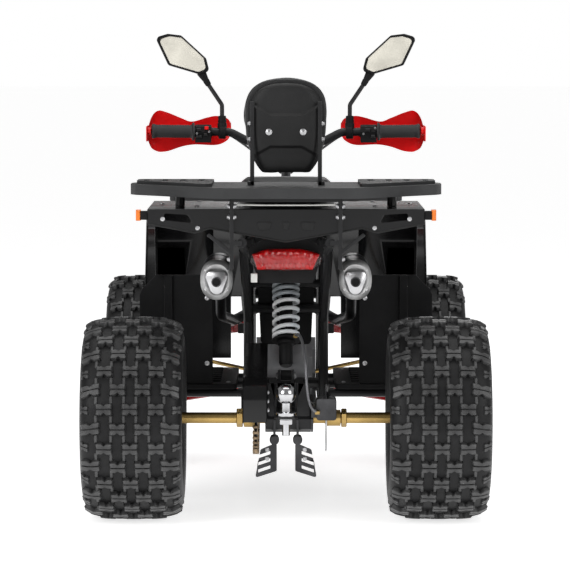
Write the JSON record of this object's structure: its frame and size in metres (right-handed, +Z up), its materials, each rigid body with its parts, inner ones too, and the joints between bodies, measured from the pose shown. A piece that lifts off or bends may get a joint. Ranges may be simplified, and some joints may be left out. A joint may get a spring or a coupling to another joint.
{
  "type": "quad bike",
  "caption": "Utility quad bike with chain-driven rear axle, steered front wheels, moulded racks, passenger backrest and towing ball.",
  "frame": {"origin": "centre of the machine's plan at floor level, under the middle of its bounding box", "axes": "+Y forward, +X to the rider's right, +Z up"},
  "size_m": [1.016, 1.66, 1.2148],
  "materials": {
    "frame_paint": "satin",
    "black_plastic": "textured",
    "gloss_black": "gloss",
    "rack_plastic": "textured",
    "seat_vinyl": "satin",
    "tyre": "matte",
    "rubber": "matte",
    "engine_metal": "cast",
    "silver": "satin",
    "dark_steel": "satin",
    "chrome": "polished",
    "gold_steel": "satin",
    "chain_steel": "satin",
    "red_paint": "gloss",
    "red_plastic": "gloss",
    "spring_paint": "gloss",
    "red_lens": "clear",
    "orange_lens": "clear",
    "clear_lens": "clear",
    "mirror": "polished",
    "disc_steel": "satin",
    "rim_paint": "satin"
  },
  "bodies": {
    "chassis": {"frame": "frame_paint", "skid_plate": "frame_paint", "engine": "engine_metal", "engine_sprocket": "dark_steel", "air_box": "black_plastic", "exhausts": "silver", "swingarm": "frame_paint", "rear_shock": "frame_paint", "rear_spring": "spring_paint", "chain": "chain_steel", "chain_guard": "gloss_black", "guard_plates": "frame_paint", "brake_caliper": "frame_paint", "hitch_plate": "frame_paint", "hitch_ball": "chrome", "rear_fender": "gloss_black", "splash_panels": "black_plastic", "footboards": "black_plastic", "side_bars": "frame_paint", "rear_rack": "rack_plastic", "rack_supports": "frame_paint", "backrest_shell": "black_plastic", "backrest_pad": "seat_vinyl", "seat": "seat_vinyl", "tail_light": "red_lens", "tail_panel": "black_plastic", "indicators": "orange_lens", "body_cover": "gloss_black", "front_fender": "gloss_black", "nose_panel": "gloss_black", "grille": "black_plastic", "headlights": "clear_lens", "front_bumper": "frame_paint", "front_rack": "rack_plastic", "front_arms": "red_paint", "front_shocks": "frame_paint", "front_springs": "spring_paint"},
    "steering": {"steering_stem": "frame_paint", "handlebar": "frame_paint", "grips": "rubber", "bar_controls": "black_plastic", "hand_guards": "red_plastic", "mirrors": "black_plastic", "mirror_glass": "mirror"},
    "knuckle_right": {"knuckle_right": "frame_paint"},
    "knuckle_left": {"knuckle_left": "frame_paint"},
    "tie_rod_right": {"tie_rod_right": "gold_steel"},
    "tie_rod_left": {"tie_rod_left": "gold_steel"},
    "front_wheel_right": {"front_tyre_right": "tyre", "front_rim_right": "rim_paint"},
    "front_wheel_left": {"front_tyre_left": "tyre", "front_rim_left": "rim_paint"},
    "rear_axle": {"rear_axle": "gold_steel", "rear_rims": "rim_paint", "rear_tyres": "tyre", "axle_sprocket": "dark_steel", "brake_disc": "disc_steel"}
  },
  "joints": [
    {"name": "steering", "type": "hinge", "parent": "chassis", "child": "steering", "pos_m": [0, 0.145, 0.88], "axis": [0, -0.4284, 0.9036], "range_deg": [-35, 35]},
    {"name": "kingpin_right", "type": "hinge", "parent": "chassis", "child": "knuckle_right", "pos_m": [0.32, 0.55, 0.2665], "axis": [0, 0, 1], "range_deg": [-35, 35]},
    {"name": "kingpin_left", "type": "hinge", "parent": "chassis", "child": "knuckle_left", "pos_m": [-0.32, 0.55, 0.2665], "axis": [0, 0, 1], "range_deg": [-35, 35]},
    {"name": "rod_pivot_right", "type": "hinge", "parent": "steering", "child": "tie_rod_right", "pos_m": [0.014, 0.36843, 0.24538], "axis": [0, -0.4284, 0.9036], "range_deg": [-35, 35]},
    {"name": "rod_pivot_left", "type": "hinge", "parent": "steering", "child": "tie_rod_left", "pos_m": [-0.014, 0.36843, 0.24538], "axis": [0, -0.4284, 0.9036], "range_deg": [-35, 35]},
    {"name": "front_wheel_right", "type": "hinge", "parent": "knuckle_right", "child": "front_wheel_right", "pos_m": [0.415, 0.55, 0.2665], "axis": [1, 0, 0], "continuous": true},
    {"name": "front_wheel_left", "type": "hinge", "parent": "knuckle_left", "child": "front_wheel_left", "pos_m": [-0.415, 0.55, 0.2665], "axis": [1, 0, 0], "continuous": true},
    {"name": "rear_axle", "type": "hinge", "parent": "chassis", "child": "rear_axle", "pos_m": [0, -0.55, 0.254], "axis": [1, 0, 0], "continuous": true}
  ],
  "couplings": [
    {"joint": "kingpin_right", "follows": "steering", "ratio": 1},
    {"joint": "kingpin_left", "follows": "steering", "ratio": 1},
    {"joint": "rod_pivot_right", "follows": "steering", "ratio": -1},
    {"joint": "rod_pivot_left", "follows": "steering", "ratio": -1}
  ]
}
